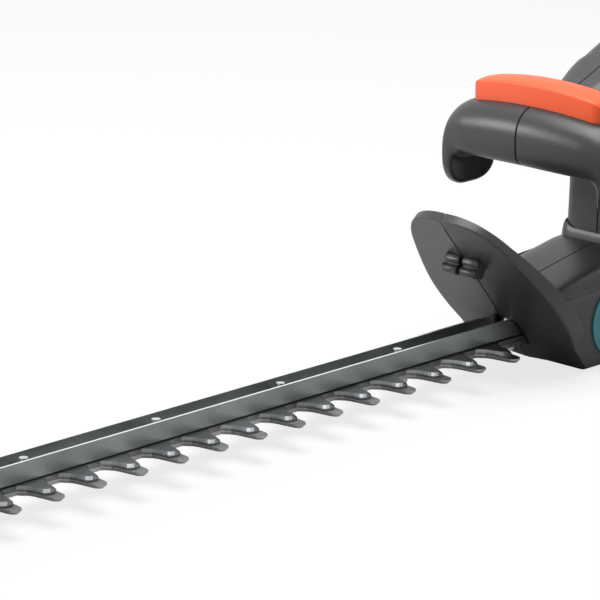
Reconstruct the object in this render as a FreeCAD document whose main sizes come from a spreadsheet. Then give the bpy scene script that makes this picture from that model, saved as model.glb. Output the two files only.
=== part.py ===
"""A cordless hedge trimmer with a double-sided 50 cm blade, as a parametric FreeCAD document.

Frame: +X runs forward along the blade, +Y to the tool's left and +Z up. The origin lies on the
surface the tool rests on, straight under the axis of the drive gear that works the blades.
All sizes are millimetres in the spreadsheet "sizes"; every piece is bound to its cells.
"""
import FreeCAD, Part
import math
import os
import re

import Sketcher
from FreeCAD import Placement, Rotation, Vector

SIZES = {
    # cutting teeth and the two blades
    "tooth_pitch": 30, "tooth_count": 16, "tooth_first": 84, "lower_reach": 33.8, "upper_reach": 26.5,
    "tooth_root": 12, "tooth_shoulder": 16, "tooth_half": 6, "tooth_end_half": 4.4, "tooth_nose": 4.6,
    "spine_half": 9,
    "blade_thick": 2.6, "blade_gap": 0.2, "blade_low": 13.4, "bevel_high": 1.6, "bevel_wide": 1.3,
    "blade_nose": 5, "yoke_long": 46, "yoke_wide": 54, "yoke_neck": 6,
    # the channel rail and its bolts
    "rail_half": 8, "rail_wall": 1.4, "rail_high": 11.6, "rail_low": 19, "rail_rear": 44,
    "bolt_first": 56.05, "bolt_count": 6, "tip_bolt_ahead": 3.3, "bolt_radius": 2.5, "sleeve_radius": 3.5,
    "sleeve_clear": 0.3, "nut_half": 4, "nut_high": 5, "head_radius": 6, "head_high": 2.2,
    "washer_radius": 7, "washer_thick": 1, "tongue_thick": 2.6,
    # the blunt guard on the blade's tip
    "tip_long": 16, "tip_half": 22, "tip_low": 8, "tip_high": 34,
    # gear train
    "gear_module": 1, "gear_teeth": 76, "pinion_teeth": 16, "gear_low": 24.2, "gear_thick": 8,
    "crank_throw": 7.5, "cam_radius": 13.5, "cam_clear": 1.9, "shaft_radius": 4, "shaft_low": 9,
    "plate_thick": 4, "plate_low": 19.2, "top_plate_low": 34, "bearing_radius": 8, "run_clear": 0.05,
    "post_x": 30, "post_y": 34, "post_rear": 68, "post_rear_y": 22, "post_radius": 4,
    # motor
    "motor_radius": 17.9, "motor_long": 50, "motor_wall": 1.6, "rotor_radius": 12, "rotor_long": 28,
    "motor_shaft": 1.6, "pinion_long": 9, "fan_radius": 14.5, "commutator_radius": 4,
    # lower housing
    "body_half": 45, "barrel_half": 40, "wall": 2.8, "body_rear": -102, "body_top": 62,
    "body_front_top": 44, "barrel_round": 14, "cheek_drop": 4.5, "disc_radius": 23, "disc_ring": 3,
    "disc_high": 27, "disc_x": 7.5, "disc_thick": 2,
    "boss_radius": 4, "screw_radius": 1.5, "screw_head": 3,
    # guard
    "guard_foot_x": 37.3, "guard_foot_z": 0.6, "guard_lean": 38.91, "guard_long": 127.5,
    "guard_foot_half": 40, "guard_wide_half": 51.5, "guard_wide_at": 43, "guard_mid_half": 45.5,
    "guard_mid_at": 88, "guard_top_half": 33, "guard_depth": 9, "guard_skin": 4, "guard_rim": 3.2,
    "guard_slot_gap": 1.2, "clip_half": 13.5, "clip_slot": 1.5, "clip_high": 64,
    # upper housing with the rear grip
    "stem_half": 30, "grip_half": 18.5, "fit_gap": 0.3, "stem_front": -25, "stem_lean": 6,
    "stem_rear": -92, "shell_round": 13,
    "arm_front": 11, "arm_low": 124, "arm_high": 157, "crest_x": -70, "crest_z": 191,
    "grip_rear": -266, "grip_rear_z": 158, "column_rear": -300, "bar_top": 84, "window_rear": -232,
    "window_top": 150, "window_fall": 20,
    # front handle and its switch bar
    "handle_half": 70, "handle_front": 51.7, "handle_low": 120, "handle_high": 157, "handle_end_low": 97,
    "handle_end_thick": 14, "handle_round": 25, "handle_edge": 6.5, "handle_wall": 2.6,
    "bar_front": 38.3, "bar_rear": 13.5, "bar_half": 54, "bar_high": 171, "bar_sink": 5, "bar_fall": 7,
    "bar_clear": 0.5, "spring_x": 26, "spring_y": 30, "spring_low": 135,
    # rear trigger
    "trigger_x": -122, "trigger_z": 160, "trigger_half": 8, "trigger_pin": 2, "trigger_long": 44,
    "trigger_clear": 0.6, "switch_half": 12,
    "board_half": 16,
    # battery
    "pack_front": -218, "pack_rear": -333, "pack_half": 36, "pack_high": 56, "pack_wall": 2,
    "pack_round": 8, "cell_radius": 9.1, "cell_long": 65, "rail_flange_half": 20, "rail_neck_half": 14,
    "slide_clear": 0.4, "shoe_half": 38, "shoe_high": 16,
}

doc = FreeCAD.newDocument("hedge_trimmer")
sheet = doc.addObject("Spreadsheet::Sheet", "sizes")
for row, (alias, value) in enumerate(SIZES.items(), start=1):
    sheet.set(f"A{row}", alias)
    sheet.set(f"B{row}", str(value))
    sheet.setAlias(f"B{row}", alias)
doc.recompute()

NODES = []
ROUNDS = {}


def bound(text):
    """A formula in the sheet's aliases, as FreeCAD's expression engine reads it."""
    return re.sub(r"[a-z_]+\w*", lambda m: "sizes." + m.group(0) if m.group(0) in SIZES else m.group(0),
                  str(text))


def size(text):
    """The number that a formula in the sheet's aliases gives."""
    value = sheet.evalExpression(bound(text))
    return float(getattr(value, "Value", value))


def bind(thing, **formulas):
    """Bind properties to formulas; a dunder such as Placement__Base__x stands for a dotted path."""
    for name, formula in formulas.items():
        thing.setExpression(name.replace("__", "."), bound(formula))
    return thing


def node(thing, label):
    """Name a finished sub-part, whose file takes the same name."""
    thing.Label = label
    NODES.append(thing)
    return thing


def plane(body, role):
    return next(f for f in body.Origin.OriginFeatures if f.Role == role)


def sketch_on(body, role, offset="0", name="Sketch"):
    """A sketch on one of the body's own planes, raised by a bound offset along its normal."""
    sk = body.newObject("Sketcher::SketchObject", name)
    sk.AttachmentSupport = [(plane(body, role), "")]
    sk.MapMode = "FlatFace"
    sk.setExpression("AttachmentOffset.Base.z", bound(offset))
    return sk


def fix_point(sk, geo, pos, x, y):
    """Hold one point at bound coordinates measured from the sketch's origin."""
    for kind, formula in (("DistanceX", x), ("DistanceY", y)):
        index = sk.addConstraint(Sketcher.Constraint(kind, -1, 1, geo, pos, size(formula)))
        sk.setExpression(f"Constraints[{index}]", bound(formula))


def outline(sk, corners):
    """A closed polygon through (x, y, radius) corners, each a formula; pad() rounds those with a radius."""
    pts = [Vector(size(c[0]), size(c[1]), 0) for c in corners]
    lines = [sk.addGeometry(Part.LineSegment(at, pts[(i + 1) % len(pts)])) for i, at in enumerate(pts)]
    for i, corner in enumerate(corners):
        sk.addConstraint(Sketcher.Constraint("Coincident", lines[i - 1], 2, lines[i], 1))
        fix_point(sk, lines[i], 1, corner[0], corner[1])
    ROUNDS.setdefault(sk.Name, []).extend(c for c in corners if len(c) > 2 and size(c[2]))
    return sk


def circle(sk, x, y, radius):
    """A circle at bound coordinates with a bound radius."""
    geo = sk.addGeometry(Part.Circle(Vector(size(x), size(y), 0), Vector(0, 0, 1), size(radius)))
    fix_point(sk, geo, 3, x, y)
    index = sk.addConstraint(Sketcher.Constraint("Radius", geo, size(radius)))
    sk.setExpression(f"Constraints[{index}]", bound(radius))
    return sk


def rounded(body, sk, length):
    """Fillets along the edges that a pad or pocket raised from the outline's rounded corners."""
    across, along = {"XY_Plane": ("xy", "z"), "XZ_Plane": ("xz", "y"), "YZ_Plane": ("yz", "x")}[
        sk.AttachmentSupport[0][0].Role]
    body.recompute(True)
    start = getattr(sk.Placement.Base, along)
    end = start + size(length) * (-1 if along == "y" else 1)
    low, high = min(start, end) - 1e-3, max(start, end) + 1e-3
    for x, y, radius in ROUNDS.get(sk.Name, []):
        body.recompute(True)
        picked = []
        for index, edge in enumerate(body.Shape.Edges, start=1):
            ends = [v.Point for v in edge.Vertexes]
            if len(ends) == 2 and all(abs(getattr(p, across[0]) - size(x)) < 1e-3
                                      and abs(getattr(p, across[1]) - size(y)) < 1e-3
                                      and low <= getattr(p, along) <= high for p in ends):
                picked.append(f"Edge{index}")
        if picked:
            made = body.newObject("PartDesign::Fillet", "Round")
            made.Base = (body.Tip if made != body.Tip else made.BaseFeature, picked)
            made.setExpression("Radius", bound(radius))
    body.recompute(True)


def pad(body, sk, length, name="Pad", **properties):
    made = body.newObject("PartDesign::Pad", name)
    made.Profile = sk
    made.setExpression("Length", bound(length))
    for key, value in properties.items():
        setattr(made, key, value)
    rounded(body, sk, length)
    return made


def pocket(body, sk, length, name="Pocket", **properties):
    """A pocket along the sketch's own normal, so it goes the same way as a pad would."""
    made = body.newObject("PartDesign::Pocket", name)
    made.Profile = sk
    made.Reversed = True
    made.setExpression("Length", bound(length))
    for key, value in properties.items():
        setattr(made, key, value)
    rounded(body, sk, length)
    return made


def row_of(body, feature, count, step, name="Row"):
    """Repeat a feature along +X."""
    made = body.newObject("PartDesign::LinearPattern", name)
    made.Originals = [feature]
    made.Direction = (plane(body, "X_Axis"), [""])
    made.setExpression("Occurrences", bound(count))
    made.setExpression("Length", bound(f"({step}) * (({count}) - 1)"))
    body.Tip = made
    return made


def ring_of(body, feature, count, name="Ring"):
    """Repeat a feature round the Z axis."""
    made = body.newObject("PartDesign::PolarPattern", name)
    made.Originals = [feature]
    made.Axis = (plane(body, "Z_Axis"), [""])
    made.Angle = 360
    made.setExpression("Occurrences", bound(count))
    body.Tip = made
    return made


def body_named(name):
    return doc.addObject("PartDesign::Body", name)


def plate(name, role, offset, corners, length, holes=()):
    """A body padded from one outline, with round holes straight through it."""
    body = body_named(name)
    pad(body, outline(sketch_on(body, role, offset), corners), length)
    for x, y, radius in holes:
        pocket(body, circle(sketch_on(body, role, offset), x, y, radius), length)
    return body


def cylinder(name, radius, height, at, axis="Z"):
    """A Part::Cylinder from a bound base point along one axis."""
    made = doc.addObject("Part::Cylinder", name)
    turn = {"Z": Rotation(), "X": Rotation(Vector(0, 1, 0), 90), "Y": Rotation(Vector(1, 0, 0), -90)}[axis]
    made.Placement = Placement(Vector(), turn)
    bind(made, Radius=radius, Height=height, Placement__Base__x=at[0], Placement__Base__y=at[1],
         Placement__Base__z=at[2])
    return made


def box(name, low, high):
    """A Part::Box between two bound corners."""
    made = doc.addObject("Part::Box", name)
    bind(made, Length=f"({high[0]}) - ({low[0]})", Width=f"({high[1]}) - ({low[1]})",
         Height=f"({high[2]}) - ({low[2]})", Placement__Base__x=low[0], Placement__Base__y=low[1],
         Placement__Base__z=low[2])
    return made


def cut(name, base, tools):
    tool = tools[0] if len(tools) == 1 else fuse(name + "_tools", tools)
    made = doc.addObject("Part::Cut", name)
    made.Base = base
    made.Tool = tool
    return made


def fuse(name, shapes):
    made = doc.addObject("Part::MultiFuse", name)
    made.Shapes = shapes
    return made


def group(name, shapes):
    """Several separate solids as one node."""
    made = doc.addObject("Part::Compound", name)
    made.Links = shapes
    return made


def mirrored(name, source):
    """The other hand of a piece, across the tool's centre plane."""
    made = doc.addObject("Part::Mirroring", name)
    made.Source = source
    made.Normal = Vector(0, 1, 0)
    return made


LAST_TOOTH = "(tooth_first + tooth_pitch * (tooth_count - 1))"
LAST_BOLT = f"({LAST_TOOTH} + tip_bolt_ahead)"
BOLT_STEP = f"(({LAST_BOLT} - bolt_first) / (bolt_count - 1))"
SLOT_HALF_LONG = "(crank_throw + sleeve_radius + 2 * sleeve_clear)"
BLADE_FRONT = f"({LAST_BOLT} + {SLOT_HALF_LONG} + blade_nose)"
UPPER_LOW = "(blade_low + blade_thick + blade_gap)"
RAIL_FLOOR = "(rail_low + rail_wall)"


# ---- cutting blades --------------------------------------------------------------------------

def tooth_sketch(body, height, reach, end_half, inset="0"):
    """One pair of teeth, left and right of the spine, as a single outline with a rounded tip."""
    nose = [(f"({end_half}) * cos({a})", f"({reach}) - tooth_nose * (1 - sin({a}))") for a in (0, 25,
                                                                                               50, 72)]
    front = [("tooth_root", "spine_half - 1"), ("tooth_root - 2.5", "spine_half + 1.5"),
             ("tooth_half + 1", "tooth_shoulder - 2"), ("tooth_half", "tooth_shoulder + 1")] + nose
    side = [(f"tooth_first + ({x} - {inset})", y) for x, y in front]
    side += [(f"tooth_first - ({x} - {inset})", y) for x, y in reversed(front)]
    return outline(sketch_on(body, "XY_Plane", height), side + [(x, f"-({y})") for x, y in reversed(side)])


def blade(name, low, reach, end_half, bevel_up):
    """A reciprocating blade: yoke, slotted spine and double-sided teeth ground on the outer face."""
    body = body_named(name)
    half = [("blade_front_x", "spine_half", "3"),
            ("yoke_long / 2 + yoke_neck", "spine_half", "3"),
            ("yoke_long / 2", "yoke_wide / 2", "4"),
            ("-yoke_long / 2", "yoke_wide / 2", "4")]
    half = [(x.replace("blade_front_x", BLADE_FRONT), y, r) for x, y, r in half]
    other = [(x, f"-({y})", r) for x, y, r in reversed(half)]
    pad(body, outline(sketch_on(body, "XY_Plane", low), half + other), "blade_thick")
    edge = f"{low} + (blade_thick - bevel_high)" if bevel_up else f"{low} + bevel_high"
    land_low, outer = (low, f"{low} + blade_thick") if bevel_up else (edge, low)
    land = pad(body, tooth_sketch(body, land_low, reach, end_half), "blade_thick - bevel_high", "Land")
    row_of(body, land, "tooth_count", "tooth_pitch")
    ground = body.newObject("PartDesign::AdditiveLoft", "Ground")
    ground.Profile = tooth_sketch(body, edge, reach, end_half)
    ground.Sections = [tooth_sketch(body, outer, f"{reach} - bevel_wide", end_half, "bevel_wide")]
    ground.Ruled = True
    row_of(body, ground, "tooth_count", "tooth_pitch")
    window_x, window_y = "(cam_radius + cam_clear)", "(cam_radius + crank_throw + 1)"
    pocket(body, outline(sketch_on(body, "XY_Plane", low),
                         [(f"-{window_x}", f"-{window_y}", "3"), (window_x, f"-{window_y}", "3"),
                          (window_x, window_y, "3"), (f"-{window_x}", window_y, "3")]), "blade_thick")
    slot_y = "(sleeve_radius + sleeve_clear)"
    slot = pocket(body, outline(sketch_on(body, "XY_Plane", low),
                                [(f"bolt_first - {SLOT_HALF_LONG}", f"-{slot_y}"),
                                 (f"bolt_first + {SLOT_HALF_LONG}", f"-{slot_y}"),
                                 (f"bolt_first + {SLOT_HALF_LONG}", slot_y),
                                 (f"bolt_first - {SLOT_HALF_LONG}", slot_y)]), "blade_thick")
    row_of(body, slot, "bolt_count", BOLT_STEP)
    return node(body, name)


blade("lower_blade", "blade_low", "lower_reach", "tooth_end_half", bevel_up=False)
blade("upper_blade", UPPER_LOW, "upper_reach", "(tooth_half - 0.8)", bevel_up=True)


# ---- rail, its bolts and the tip guard -------------------------------------------------------

def guide_rail():
    """The channel that stiffens the blades, open at the top."""
    body = body_named("guide_rail")
    half = [("rail_half", "rail_low", "1.2"), ("rail_half", "rail_low + rail_high", "0"),
            ("rail_half - rail_wall", "rail_low + rail_high", "0"),
            ("rail_half - rail_wall", RAIL_FLOOR, "0.6")]
    other = [(f"-({y})", z, r) for y, z, r in reversed(half)]
    pad(body, outline(sketch_on(body, "YZ_Plane", "rail_rear"), half + other),
        f"{LAST_BOLT} + 12 - rail_rear")
    hole = pocket(body, circle(sketch_on(body, "XY_Plane", "rail_low"), "bolt_first", "0", "bolt_radius"),
                  "rail_wall")
    row_of(body, hole, "bolt_count", BOLT_STEP)
    return node(body, "guide_rail")


guide_rail()

HEAD_TOP = "(blade_low - blade_gap - washer_thick)"
bolts, sleeves, washers, nuts = [], [], [], []
for i in range(int(SIZES["bolt_count"])):
    at = f"(bolt_first + {i} * {BOLT_STEP})"
    seat = f"({RAIL_FLOOR} + tongue_thick)" if i in (0, SIZES["bolt_count"] - 1) else RAIL_FLOOR
    shank = cylinder(f"bolt_shank_{i}", "bolt_radius", f"rail_low + rail_high - 1 - {HEAD_TOP}",
                     (at, "0", HEAD_TOP))
    head = cylinder(f"bolt_head_{i}", "head_radius", "head_high", (at, "0", f"{HEAD_TOP} - head_high"))
    bolts.append(fuse(f"bolt_{i}", [shank, head]))
    for made, outer, low, high in ((sleeves, "sleeve_radius", "blade_low - blade_gap", "rail_low"),
                                   (washers, "washer_radius", HEAD_TOP, "blade_low - blade_gap")):
        ring = body_named(f"bolt_ring_{i}")
        sk = circle(sketch_on(ring, "XY_Plane", low), at, "0", outer)
        pad(ring, circle(sk, at, "0", "bolt_radius"), f"{high} - ({low})")
        made.append(ring)
    nut = body_named(f"nut_{i}")
    across = "nut_half / cos(30)"
    hexagon = [(f"{at} + {across} * cos({60 * k})", f"{across} * sin({60 * k})") for k in range(6)]
    sk = outline(sketch_on(nut, "XY_Plane", seat), hexagon)
    pad(nut, circle(sk, at, "0", "bolt_radius"), "nut_high")
    nuts.append(nut)
node(group("blade_bolts", bolts), "blade_bolts")
node(group("bolt_sleeves", sleeves), "bolt_sleeves")
node(group("bolt_washers", washers), "bolt_washers")
node(group("rail_nuts", nuts), "rail_nuts")


def tip_guard():
    """The blunt nose ahead of the blades, held by the last bolt through its tongue in the channel."""
    nose = f"({BLADE_FRONT} + crank_throw + 1.5)"
    body = body_named("tip_guard")
    half = [(nose, "tip_half", "1.5"), (f"{nose} + tip_long * 0.4", "tip_half", "4"),
            (f"{nose} + tip_long", "tip_half * 0.5", "6")]
    other = [(x, f"-({y})", r) for x, y, r in reversed(half)]
    pad(body, outline(sketch_on(body, "XY_Plane", "tip_low"), half + other), "tip_high - tip_low")
    tongue_half = "(rail_half - rail_wall - 0.4)"
    pad(body, outline(sketch_on(body, "XY_Plane", RAIL_FLOOR),
                      [(f"{LAST_BOLT} - 8", f"-{tongue_half}"), (f"{nose} + 2", f"-{tongue_half}"),
                       (f"{nose} + 2", tongue_half), (f"{LAST_BOLT} - 8", tongue_half)]), "tongue_thick")
    pocket(body, circle(sketch_on(body, "XY_Plane", RAIL_FLOOR), LAST_BOLT, "0", "bolt_radius"),
           "tongue_thick")
    return node(body, "tip_guard")


tip_guard()


# ---- gear train ------------------------------------------------------------------------------

GEAR_PITCH = "(gear_module * gear_teeth / 2)"
PINION_PITCH = "(gear_module * pinion_teeth / 2)"
MOTOR_X = f"(-{GEAR_PITCH} - {PINION_PITCH})"


def toothed(body, low, thick, pitch, teeth, flank, root, bore, turn="0"):
    """A spur gear: a root disc with a bore, then one tooth repeated round the axis."""
    disc = circle(sketch_on(body, "XY_Plane", low), "0", "0", f"{pitch} - {root} * gear_module")
    pad(body, circle(disc, "0", "0", bore), thick)
    side = [(f"{pitch} + ({r}) * gear_module", f"({t}) * gear_module") for r, t in flank]
    pts = side + [(r, f"-({t})") for r, t in reversed(side)]
    spun = [(f"({r}) * cos({turn}) - ({t}) * sin({turn})", f"({r}) * sin({turn}) + ({t}) * cos({turn})")
            for r, t in pts]
    tooth = pad(body, outline(sketch_on(body, "XY_Plane", low), spun), thick, "Tooth")
    ring_of(body, tooth, teeth)
    return body


# distance from the pitch circle and half thickness along the flank, in modules
GEAR_FLANK = [("-1.6", "1.1"), ("0", "0.68"), ("1", "0.28")]
PINION_FLANK = [("-1.6", "0.6"), ("-0.48", "0.68"), ("0", "0.6"), ("0.85", "0.22")]

gear = toothed(body_named("drive_gear"), "gear_low", "gear_thick", GEAR_PITCH, "gear_teeth", GEAR_FLANK,
               "1.35", "shaft_radius")
web = circle(sketch_on(gear, "XY_Plane", "gear_low + gear_thick - 3"), "0", "0", f"{GEAR_PITCH} - 6")
pocket(gear, circle(web, "0", "0", "shaft_radius + 7"), "3")
node(gear, "drive_gear")

pinion = toothed(body_named("motor_pinion"), "gear_low + 0.3", "pinion_long", PINION_PITCH,
                 "pinion_teeth", PINION_FLANK, "1.35", "motor_shaft", "180 / pinion_teeth")
pinion.Placement.Base = Vector(size(MOTOR_X), 0, 0)
bind(pinion, Placement__Base__x=MOTOR_X)
node(pinion, "motor_pinion")

SHAFT_TOP = "(top_plate_low + plate_thick)"
node(cylinder("crank_shaft", "shaft_radius", f"{SHAFT_TOP} - shaft_low", ("0", "0", "shaft_low")),
     "crank_shaft")
for name, low, throw in (("lower_eccentric", "blade_low", "-crank_throw"),
                         ("upper_eccentric", UPPER_LOW, "crank_throw")):
    cam = body_named(name)
    disc = circle(sketch_on(cam, "XY_Plane", low), "0", throw, "cam_radius")
    pad(cam, circle(disc, "0", "0", "shaft_radius"), "blade_thick")
    node(cam, name)


def ring(name, x, low, outer, inner, thick):
    body = body_named(name)
    pad(body, circle(circle(sketch_on(body, "XY_Plane", low), x, "0", outer), x, "0", inner), thick)
    return body


node(ring("shaft_clip", "0", "blade_low - 1.4", "shaft_radius + 3", "shaft_radius", "1.2"), "shaft_clip")
for name, low in (("lower_bearing", "plate_low"), ("upper_bearing", "top_plate_low")):
    node(ring(name, "0", low, "bearing_radius", "shaft_radius + run_clear", "plate_thick"), name)

POSTS = [("post_x", "post_y"), ("post_x", "-post_y"), ("-post_rear", "post_rear_y"),
         ("-post_rear", "-post_rear_y")]
PLATE = [("post_x + post_radius + 2", "-(post_y + post_radius + 1)", "4"),
         ("post_x + post_radius + 2", "post_y + post_radius + 1", "4"),
         ("-post_x", "post_y + post_radius + 1", "8"),
         ("-(post_rear + post_radius + 2)", "post_rear_y + post_radius + 2", "5"),
         ("-(post_rear + post_radius + 2)", "-(post_rear_y + post_radius + 2)", "5"),
         ("-post_x", "-(post_y + post_radius + 1)", "8")]
base = plate("gearbox_plate", "XY_Plane", "plate_low", PLATE, "plate_thick",
             [("0", "0", "bearing_radius")])
tongue_y = "(rail_half - rail_wall - 0.4)"
pad(base, outline(sketch_on(base, "XY_Plane", RAIL_FLOOR),
                  [("post_x", f"-{tongue_y}"), ("bolt_first + 9", f"-{tongue_y}", "3"),
                   ("bolt_first + 9", tongue_y, "3"), ("post_x", tongue_y)]), "tongue_thick")
pocket(base, circle(sketch_on(base, "XY_Plane", RAIL_FLOOR), "bolt_first", "0", "bolt_radius"),
       "tongue_thick")
node(base, "gearbox_plate")
node(plate("gearbox_cover", "XY_Plane", "top_plate_low", PLATE, "plate_thick",
           [("0", "0", "bearing_radius"), (MOTOR_X, "0", "6")] + [(x, y, "1.8") for x, y in POSTS]),
     "gearbox_cover")
posts, plate_screws = [], []
for i, (x, y) in enumerate(POSTS):
    post = body_named(f"post_{i}")
    post_low = "(plate_low + plate_thick)"
    disc = circle(sketch_on(post, "XY_Plane", post_low), x, y, "post_radius")
    pad(post, circle(disc, x, y, "1.8"), f"top_plate_low - {post_low}")
    posts.append(post)
    shank = cylinder(f"plate_shank_{i}", "1.8", "plate_thick + 8", (x, y, "top_plate_low - 8"))
    head = cylinder(f"plate_head_{i}", "3.2", "2.4", (x, y, SHAFT_TOP))
    plate_screws.append(fuse(f"plate_screw_{i}", [shank, head]))
node(group("gearbox_posts", posts), "gearbox_posts")
node(group("gearbox_screws", plate_screws), "gearbox_screws")


# ---- motor -----------------------------------------------------------------------------------

def revolved(name, corners, x="0"):
    """A body turned about the vertical line at x from a half profile of (radius, height) corners."""
    body = body_named(name)
    sk = outline(sketch_on(body, "XZ_Plane"), corners)
    made = body.newObject("PartDesign::Revolution", "Revolution")
    made.Profile = sk
    made.ReferenceAxis = (plane(body, "Z_Axis"), [""])
    made.Angle = 360
    bind(body, Placement__Base__x=x)
    return body


CAN_LOW = SHAFT_TOP
CAN_HIGH = f"({CAN_LOW} + motor_long)"
inner, bore = "(motor_radius - motor_wall)", "(motor_shaft + run_clear)"
node(revolved("motor_can", [(bore, CAN_LOW), ("motor_radius", CAN_LOW), ("motor_radius", CAN_HIGH),
                            (inner, CAN_HIGH), (inner, f"{CAN_LOW} + motor_wall"),
                            (bore, f"{CAN_LOW} + motor_wall")], MOTOR_X), "motor_can")
node(revolved("motor_end_cap", [(bore, f"{CAN_HIGH} - 4"), (inner, f"{CAN_HIGH} - 4"), (inner, CAN_HIGH),
                                ("5", CAN_HIGH), ("5", f"{CAN_HIGH} + 3"), (bore, f"{CAN_HIGH} + 3")],
              MOTOR_X), "motor_end_cap")
ROTOR_LOW = f"({CAN_LOW} + motor_wall + 6)"
node(ring("motor_magnets", MOTOR_X, f"{ROTOR_LOW} - 1", inner, "rotor_radius + 0.6", "rotor_long + 2"),
     "motor_magnets")
node(revolved("motor_armature",
              [("0", "gear_low"), ("motor_shaft", "gear_low"), ("motor_shaft", ROTOR_LOW),
               ("rotor_radius", ROTOR_LOW), ("rotor_radius", f"{ROTOR_LOW} + rotor_long"),
               ("commutator_radius", f"{ROTOR_LOW} + rotor_long"),
               ("commutator_radius", f"{ROTOR_LOW} + rotor_long + 7"),
               ("motor_shaft", f"{ROTOR_LOW} + rotor_long + 7"), ("motor_shaft", f"{CAN_HIGH} + 10"),
               ("0", f"{CAN_HIGH} + 10")], MOTOR_X), "motor_armature")
brushes = [box(f"brush_{i}", (f"{MOTOR_X} - 2", low, f"{ROTOR_LOW} + rotor_long + 2"),
               (f"{MOTOR_X} + 2", high, f"{ROTOR_LOW} + rotor_long + 6"))
           for i, (low, high) in enumerate((("commutator_radius + 0.1", inner + " - 0.3"),
                                            ("-" + inner + " + 0.3", "-commutator_radius - 0.1")))]
node(group("motor_brushes", brushes), "motor_brushes")
fan = ring("motor_fan", "0", f"{CAN_HIGH} + 4.5", "fan_radius", "motor_shaft", "1.2")
vane = pad(fan, outline(sketch_on(fan, "XY_Plane", f"{CAN_HIGH} + 5.5"),
                        [("5", "-0.6"), ("fan_radius - 0.5", "-0.6"), ("fan_radius - 0.5", "0.6"),
                         ("5", "0.6")]), "4", "Vane")
ring_of(fan, vane, "9")
bind(fan, Placement__Base__x=MOTOR_X)
node(fan, "motor_fan")


# ---- casings: each right half lies at -Y, and the left half mirrors it -------------------------

def at_outer_face(body, half, skip):
    """The names of the edges round a half's outer face, without those that skip() picks out."""
    names = []
    for index, edge in enumerate(body.Shape.Edges, start=1):
        if all(abs(v.Y + size(half)) < 1e-3 for v in edge.Vertexes) and not skip(edge.CenterOfMass):
            names.append(f"Edge{index}")
    return names


def layer(name, corners, half, radius, skip=lambda middle: False, role="XZ_Plane"):
    """A half casing's outline padded to a half width, with its outer edges rounded."""
    body = body_named(name)
    pad(body, outline(sketch_on(body, role), corners), half)
    edge = body.newObject("PartDesign::Fillet", "OuterRound")
    edge.Base = (edge.BaseFeature, at_outer_face(body, half, skip))
    edge.setExpression("Radius", bound(radius))
    doc.recompute()
    return body


def screw_places(name, places, head_y):
    """Bosses, bores and screws that pull two halves together at (x, z, boss root) places."""
    bosses, through, blind, screws = [], [], [], []
    for i, (x, z, wall_y) in enumerate(places):
        bosses.append(cylinder(f"{name}_boss_{i}", "boss_radius", wall_y, (x, f"-({wall_y})", z), "Y"))
        through.append(cylinder(f"{name}_bore_{i}", "screw_radius", wall_y, (x, f"-({wall_y})", z), "Y"))
        through.append(cylinder(f"{name}_sink_{i}", "screw_head + 0.2", f"body_half + 5 - {head_y}",
                                (x, "-(body_half + 5)", z), "Y"))
        blind.append(cylinder(f"{name}_blind_{i}", "screw_radius", head_y, (x, f"-({head_y})", z), "Y"))
        shank = cylinder(f"{name}_shank_{i}", "screw_radius", f"2 * ({head_y}) - 1",
                         (x, f"-({head_y})", z), "Y")
        head = cylinder(f"{name}_head_{i}", "screw_head", "2", (x, f"-({head_y}) - 2", z), "Y")
        screws.append(fuse(f"{name}_screw_{i}", [shank, head]))
    node(group(f"{name}_screws", screws), f"{name}_screws")
    return bosses, through, blind


def halves(name, solids, tools, through, blind):
    """The two halves of a casing: bored through on the right, blind on the left."""
    shared = cut(f"{name}_shared", fuse(f"{name}_solid", solids), tools) if tools else \
        fuse(f"{name}_solid", solids)
    node(cut(f"{name}_right", shared, through), f"{name}_right")
    node(mirrored(f"{name}_left", cut(f"{name}_left_source", shared, blind)), f"{name}_left")


FRONT_RUN = "tan(guard_lean)"


def barrel(name, half, drop, radius, inset="0"):
    """One layer of the lower housing's side, or of its cavity when it has an inset."""
    top, front_top = f"(body_top - {drop} - {inset})", f"(body_front_top - {drop} - {inset})"
    front = f"guard_foot_x - 4 - 1.3 * {inset}"
    corners = [(f"{front} + {inset} * {FRONT_RUN}", inset),
               (f"{front} + {front_top} * {FRONT_RUN}", front_top),
               ("stem_front", f"{top} - 2"), (f"body_rear + {inset}", top, f"8 - {inset}"),
               (f"body_rear + {inset}", inset, f"6 - {inset}")]
    return layer(name, corners, f"{half} - {inset}", f"{radius} - {inset} * 0.95")


def guard_half():
    """The right half of the hand guard: a leaning plate with a deep rim and a shallow keel."""
    body = body_named("guard_half")
    sk = body.newObject("Sketcher::SketchObject", "Sketch")
    sk.AttachmentSupport = [(plane(body, "YZ_Plane"), "")]
    sk.MapMode = "FlatFace"
    corners = [("0", "0"), ("0", "guard_long"), ("-guard_top_half", "guard_long", "17"),
               ("-guard_mid_half", "guard_mid_at", "60"), ("-guard_wide_half", "guard_wide_at", "20"),
               ("-guard_foot_half", "0", "5")]
    pad(body, outline(sk, corners), "guard_depth", Reversed=True)
    inset = [("0", "guard_rim"), ("0", "guard_long - guard_rim"),
             ("-(guard_top_half - guard_rim / 2)", "guard_long - guard_rim"),
             ("-(guard_mid_half - guard_rim)", "guard_mid_at"),
             ("-(guard_wide_half - guard_rim)", "guard_wide_at"),
             ("-(guard_foot_half - guard_rim)", "guard_rim")]
    back = outline(sketch_on(body, "YZ_Plane", "-guard_depth"), inset)
    pocket(body, back, "guard_depth - guard_skin")
    body.Placement = Placement(Vector(size("guard_foot_x"), 0, size("guard_foot_z")),
                               Rotation(Vector(0, 1, 0), size("guard_lean")))
    bind(body, Placement__Base__x="guard_foot_x", Placement__Base__z="guard_foot_z",
         Placement__Rotation__Angle="guard_lean")
    return body


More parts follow.
